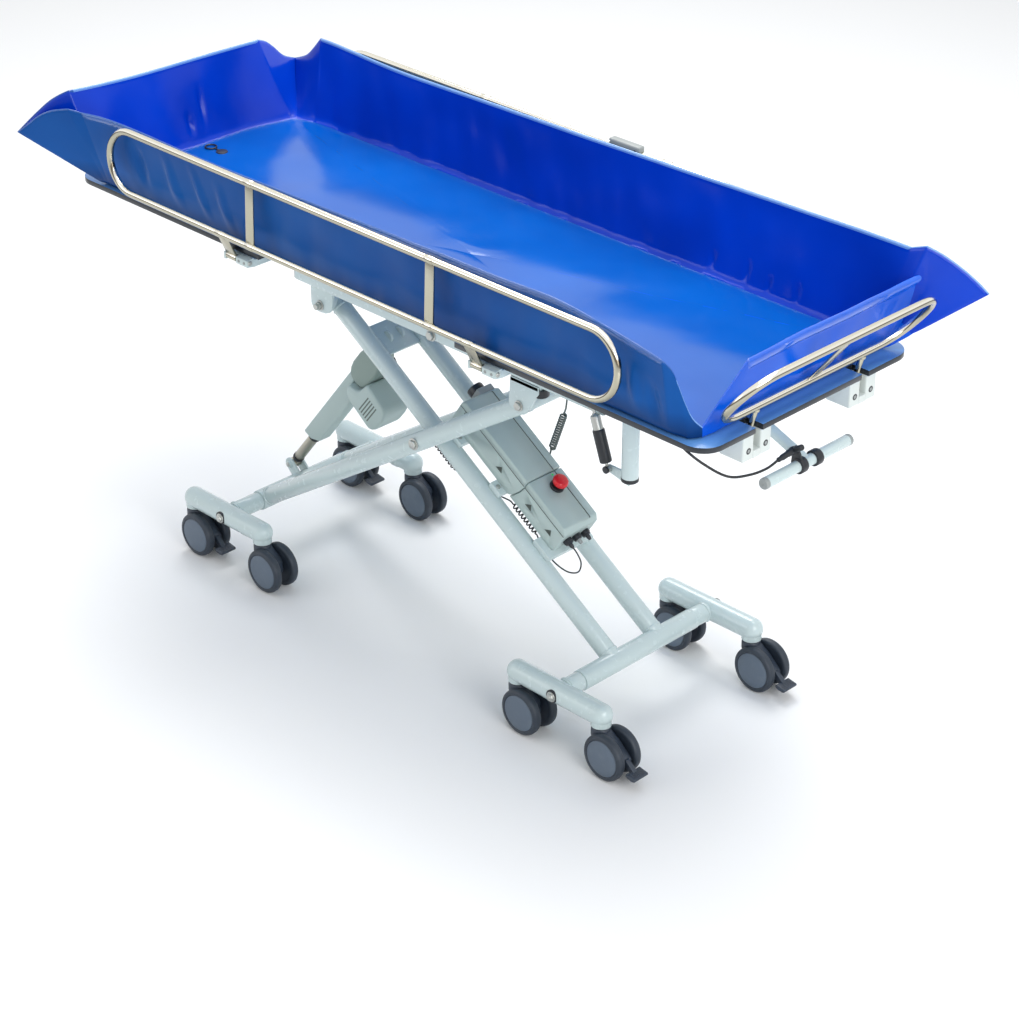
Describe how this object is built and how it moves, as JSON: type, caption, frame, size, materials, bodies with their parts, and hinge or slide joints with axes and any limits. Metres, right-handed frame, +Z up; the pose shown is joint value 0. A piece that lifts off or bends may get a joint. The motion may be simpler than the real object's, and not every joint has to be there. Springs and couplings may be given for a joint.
{
  "type": "shower trolley",
  "caption": "Height-adjustable shower trolley: soft tub on a tilting board with folding rails, carried by a powered scissor frame on swivel casters.",
  "frame": {"origin": "on the floor under the centre of the bed", "axes": "+X along the bed towards the push handle, +Y to the far side, +Z up"},
  "size_m": [2.3475, 0.9241, 1.2506],
  "materials": {
    "painted_frame": "gloss powder coat",
    "caster_plastic": "satin",
    "caster_wheel": "matte",
    "zinc_steel": "satin",
    "stainless_tube": "satin polish",
    "black_paint": "gloss",
    "grey_casing": "fine texture",
    "brown_grey_cover": "ribbed",
    "blue_board": "satin",
    "blue_liner": "smooth coated cloth",
    "red_button": "gloss",
    "black_plastic": "satin",
    "black_cable": "satin",
    "grey_cable": "satin"
  },
  "bodies": {
    "right_base": {"right_foot_near": "painted_frame", "right_foot_far": "painted_frame", "right_axle": "zinc_steel"},
    "inner_arms": {"right_cross_tube": "painted_frame", "inner_arm_near": "painted_frame", "inner_arm_far": "painted_frame", "inner_top_tube": "painted_frame", "inner_crossplate": "painted_frame", "battery_module": "grey_casing", "control_unit": "grey_casing", "dark_curly_cord": "black_cable"},
    "outer_arms": {"left_cross_tube": "painted_frame", "outer_arm_near": "painted_frame", "outer_arm_far": "painted_frame", "outer_top_tube": "painted_frame"},
    "left_base": {"left_foot_near": "painted_frame", "left_foot_far": "painted_frame", "left_axle": "zinc_steel"},
    "upper_frame": {"upper_frame": "painted_frame"},
    "sliders": {"slider_near": "painted_frame", "slider_far": "painted_frame"},
    "actuator": {"actuator_body": "brown_grey_cover", "actuator_motor": "grey_casing", "actuator_tube": "grey_casing"},
    "actuator_rod": {"actuator_rod": "zinc_steel"},
    "emergency_stop": {"emergency_stop": "red_button"},
    "bed": {"bed_frame": "painted_frame", "board": "blue_board", "liner": "blue_liner", "t_bar": "painted_frame", "bowden_cable": "black_cable", "grey_curly_cord": "grey_cable"},
    "release_lever": {"release_lever": "black_plastic"},
    "gas_spring": {"gas_spring_body": "black_paint"},
    "gas_spring_rod": {"gas_spring_rod": "zinc_steel"},
    "near_rail": {"side_rail_near": "stainless_tube"},
    "far_rail": {"side_rail_far": "stainless_tube"},
    "right_rail": {"end_rail_right": "stainless_tube"},
    "drain_plug": {"drain_plug": "black_plastic"},
    "left_outer_near_caster": {"left_outer_near_fork": "caster_plastic"},
    "left_outer_near_wheels": {"left_outer_near_wheels": "caster_wheel"},
    "left_outer_near_pedal": {"left_outer_near_pedal": "caster_plastic"},
    "left_outer_far_caster": {"left_outer_far_fork": "caster_plastic"},
    "left_outer_far_wheels": {"left_outer_far_wheels": "caster_wheel"},
    "left_outer_far_pedal": {"left_outer_far_pedal": "caster_plastic"},
    "left_inner_near_caster": {"left_inner_near_fork": "caster_plastic"},
    "left_inner_near_wheels": {"left_inner_near_wheels": "caster_wheel"},
    "left_inner_far_caster": {"left_inner_far_fork": "caster_plastic"},
    "left_inner_far_wheels": {"left_inner_far_wheels": "caster_wheel"},
    "right_outer_near_caster": {"right_outer_near_fork": "caster_plastic"},
    "right_outer_near_wheels": {"right_outer_near_wheels": "caster_wheel"},
    "right_outer_near_pedal": {"right_outer_near_pedal": "caster_plastic"},
    "right_outer_far_caster": {"right_outer_far_fork": "caster_plastic"},
    "right_outer_far_wheels": {"right_outer_far_wheels": "caster_wheel"},
    "right_outer_far_pedal": {"right_outer_far_pedal": "caster_plastic"},
    "right_inner_near_caster": {"right_inner_near_fork": "caster_plastic"},
    "right_inner_near_wheels": {"right_inner_near_wheels": "caster_wheel"},
    "right_inner_far_caster": {"right_inner_far_fork": "caster_plastic"},
    "right_inner_far_wheels": {"right_inner_far_wheels": "caster_wheel"}
  },
  "joints": [
    {"name": "lift", "type": "hinge", "parent": "right_base", "child": "inner_arms", "pos_m": [0.578, 0, 0.148], "axis": [0, -1, 0], "range_deg": [0, 13], "deforming": ["grey_curly_cord"]},
    {"name": "scissor", "type": "hinge", "parent": "inner_arms", "child": "outer_arms", "pos_m": [-0.027, 0, 0.545], "axis": [0, -1, 0], "range_deg": [-26, 0]},
    {"name": "left_base_pivot", "type": "hinge", "parent": "outer_arms", "child": "left_base", "pos_m": [-0.632, 0, 0.148], "axis": [0, -1, 0], "range_deg": [0, 13]},
    {"name": "top_pivot", "type": "hinge", "parent": "inner_arms", "child": "upper_frame", "pos_m": [-0.39571, 0, 0.78694], "axis": [0, -1, 0], "range_deg": [-13, 0]},
    {"name": "slider_pivot", "type": "hinge", "parent": "outer_arms", "child": "sliders", "pos_m": [0.34171, 0, 0.78694], "axis": [0, -1, 0], "range_deg": [0, 13]},
    {"name": "actuator_pivot", "type": "hinge", "parent": "inner_arms", "child": "actuator", "pos_m": [-0.28783, 0, 0.67429], "axis": [0, -1, 0], "range_deg": [-32.34, 0]},
    {"name": "actuator_stroke", "type": "slide", "parent": "actuator", "child": "actuator_rod", "axis": [0.6199, 0, 0.7847], "range_m": [0, 0.11592]},
    {"name": "emergency_stop_press", "type": "slide", "parent": "inner_arms", "child": "emergency_stop", "axis": [-0.5486, 0, -0.8361], "range_m": [0, 0.004], "stiffness_N_per_m": 800},
    {"name": "tilt", "type": "hinge", "parent": "upper_frame", "child": "bed", "pos_m": [0.048, 0, 0.868], "axis": [0, -1, 0], "range_deg": [0, 5]},
    {"name": "release_lever_turn", "type": "hinge", "parent": "bed", "child": "release_lever", "pos_m": [1.053, -0.04, 0.889], "axis": [0, 1, 0], "range_deg": [0, 15], "stiffness_Nm_per_rad": 2},
    {"name": "gas_spring_pivot", "type": "hinge", "parent": "bed", "child": "gas_spring", "pos_m": [0.64, -0.185, 0.74], "axis": [0, -1, 0], "range_deg": [-0.05, 8.64]},
    {"name": "gas_spring_stroke", "type": "slide", "parent": "gas_spring", "child": "gas_spring_rod", "axis": [0.3338, 0, -0.9426], "range_m": [0, 0.04325]},
    {"name": "near_rail_fold", "type": "hinge", "parent": "bed", "child": "near_rail", "pos_m": [0, -0.366, 0.981], "axis": [1, 0, 0], "range_deg": [0, 150]},
    {"name": "far_rail_fold", "type": "hinge", "parent": "bed", "child": "far_rail", "pos_m": [0, 0.366, 0.981], "axis": [-1, 0, 0], "range_deg": [0, 150]},
    {"name": "right_rail_fold", "type": "hinge", "parent": "bed", "child": "right_rail", "pos_m": [1.036, 0, 0.962], "axis": [0, 1, 0], "range_deg": [0, 80]},
    {"name": "drain_plug_lift", "type": "slide", "parent": "bed", "child": "drain_plug", "axis": [0, 0, 1], "range_m": [0, 0.05]},
    {"name": "left_outer_near_swivel", "type": "hinge", "parent": "left_base", "child": "left_outer_near_caster", "pos_m": [-0.768, -0.27, 0.06], "axis": [0, 0, 1], "continuous": true},
    {"name": "left_outer_near_roll", "type": "hinge", "parent": "left_outer_near_caster", "child": "left_outer_near_wheels", "pos_m": [-0.73, -0.27, 0.0595], "axis": [0, 1, 0], "continuous": true},
    {"name": "left_outer_near_brake", "type": "hinge", "parent": "left_outer_near_caster", "child": "left_outer_near_pedal", "pos_m": [-0.69, -0.27, 0.056], "axis": [0, 1, 0], "range_deg": [0, 10]},
    {"name": "left_outer_far_swivel", "type": "hinge", "parent": "left_base", "child": "left_outer_far_caster", "pos_m": [-0.768, 0.27, 0.06], "axis": [0, 0, 1], "continuous": true},
    {"name": "left_outer_far_roll", "type": "hinge", "parent": "left_outer_far_caster", "child": "left_outer_far_wheels", "pos_m": [-0.73, 0.27, 0.0595], "axis": [0, 1, 0], "continuous": true},
    {"name": "left_outer_far_brake", "type": "hinge", "parent": "left_outer_far_caster", "child": "left_outer_far_pedal", "pos_m": [-0.69, 0.27, 0.056], "axis": [0, 1, 0], "range_deg": [0, 10]},
    {"name": "left_inner_near_swivel", "type": "hinge", "parent": "left_base", "child": "left_inner_near_caster", "pos_m": [-0.496, -0.27, 0.06], "axis": [0, 0, 1], "continuous": true},
    {"name": "left_inner_near_roll", "type": "hinge", "parent": "left_inner_near_caster", "child": "left_inner_near_wheels", "pos_m": [-0.458, -0.27, 0.0595], "axis": [0, 1, 0], "continuous": true},
    {"name": "left_inner_far_swivel", "type": "hinge", "parent": "left_base", "child": "left_inner_far_caster", "pos_m": [-0.496, 0.27, 0.06], "axis": [0, 0, 1], "continuous": true},
    {"name": "left_inner_far_roll", "type": "hinge", "parent": "left_inner_far_caster", "child": "left_inner_far_wheels", "pos_m": [-0.458, 0.27, 0.0595], "axis": [0, 1, 0], "continuous": true},
    {"name": "right_outer_near_swivel", "type": "hinge", "parent": "right_base", "child": "right_outer_near_caster", "pos_m": [0.714, -0.27, 0.06], "axis": [0, 0, 1], "continuous": true},
    {"name": "right_outer_near_roll", "type": "hinge", "parent": "right_outer_near_caster", "child": "right_outer_near_wheels", "pos_m": [0.752, -0.27, 0.0595], "axis": [0, 1, 0], "continuous": true},
    {"name": "right_outer_near_brake", "type": "hinge", "parent": "right_outer_near_caster", "child": "right_outer_near_pedal", "pos_m": [0.792, -0.27, 0.056], "axis": [0, 1, 0], "range_deg": [0, 10]},
    {"name": "right_outer_far_swivel", "type": "hinge", "parent": "right_base", "child": "right_outer_far_caster", "pos_m": [0.714, 0.27, 0.06], "axis": [0, 0, 1], "continuous": true},
    {"name": "right_outer_far_roll", "type": "hinge", "parent": "right_outer_far_caster", "child": "right_outer_far_wheels", "pos_m": [0.752, 0.27, 0.0595], "axis": [0, 1, 0], "continuous": true},
    {"name": "right_outer_far_brake", "type": "hinge", "parent": "right_outer_far_caster", "child": "right_outer_far_pedal", "pos_m": [0.792, 0.27, 0.056], "axis": [0, 1, 0], "range_deg": [0, 10]},
    {"name": "right_inner_near_swivel", "type": "hinge", "parent": "right_base", "child": "right_inner_near_caster", "pos_m": [0.442, -0.27, 0.06], "axis": [0, 0, 1], "continuous": true},
    {"name": "right_inner_near_roll", "type": "hinge", "parent": "right_inner_near_caster", "child": "right_inner_near_wheels", "pos_m": [0.48, -0.27, 0.0595], "axis": [0, 1, 0], "continuous": true},
    {"name": "right_inner_far_swivel", "type": "hinge", "parent": "right_base", "child": "right_inner_far_caster", "pos_m": [0.442, 0.27, 0.06], "axis": [0, 0, 1], "continuous": true},
    {"name": "right_inner_far_roll", "type": "hinge", "parent": "right_inner_far_caster", "child": "right_inner_far_wheels", "pos_m": [0.48, 0.27, 0.0595], "axis": [0, 1, 0], "continuous": true}
  ],
  "couplings": [
    {"joint": "scissor", "follows": "lift", "ratio": -2},
    {"joint": "left_base_pivot", "follows": "lift", "ratio": 1},
    {"joint": "top_pivot", "follows": "lift", "ratio": -1},
    {"joint": "slider_pivot", "follows": "lift", "ratio": 1},
    {"joint": "actuator_pivot", "follows": "lift", "ratio": -2.4839},
    {"joint": "actuator_stroke", "follows": "lift", "m_per_rad": 0.51003},
    {"joint": "gas_spring_pivot", "follows": "tilt", "ratio": 1.7181},
    {"joint": "gas_spring_stroke", "follows": "tilt", "m_per_rad": 0.49333}
  ]
}
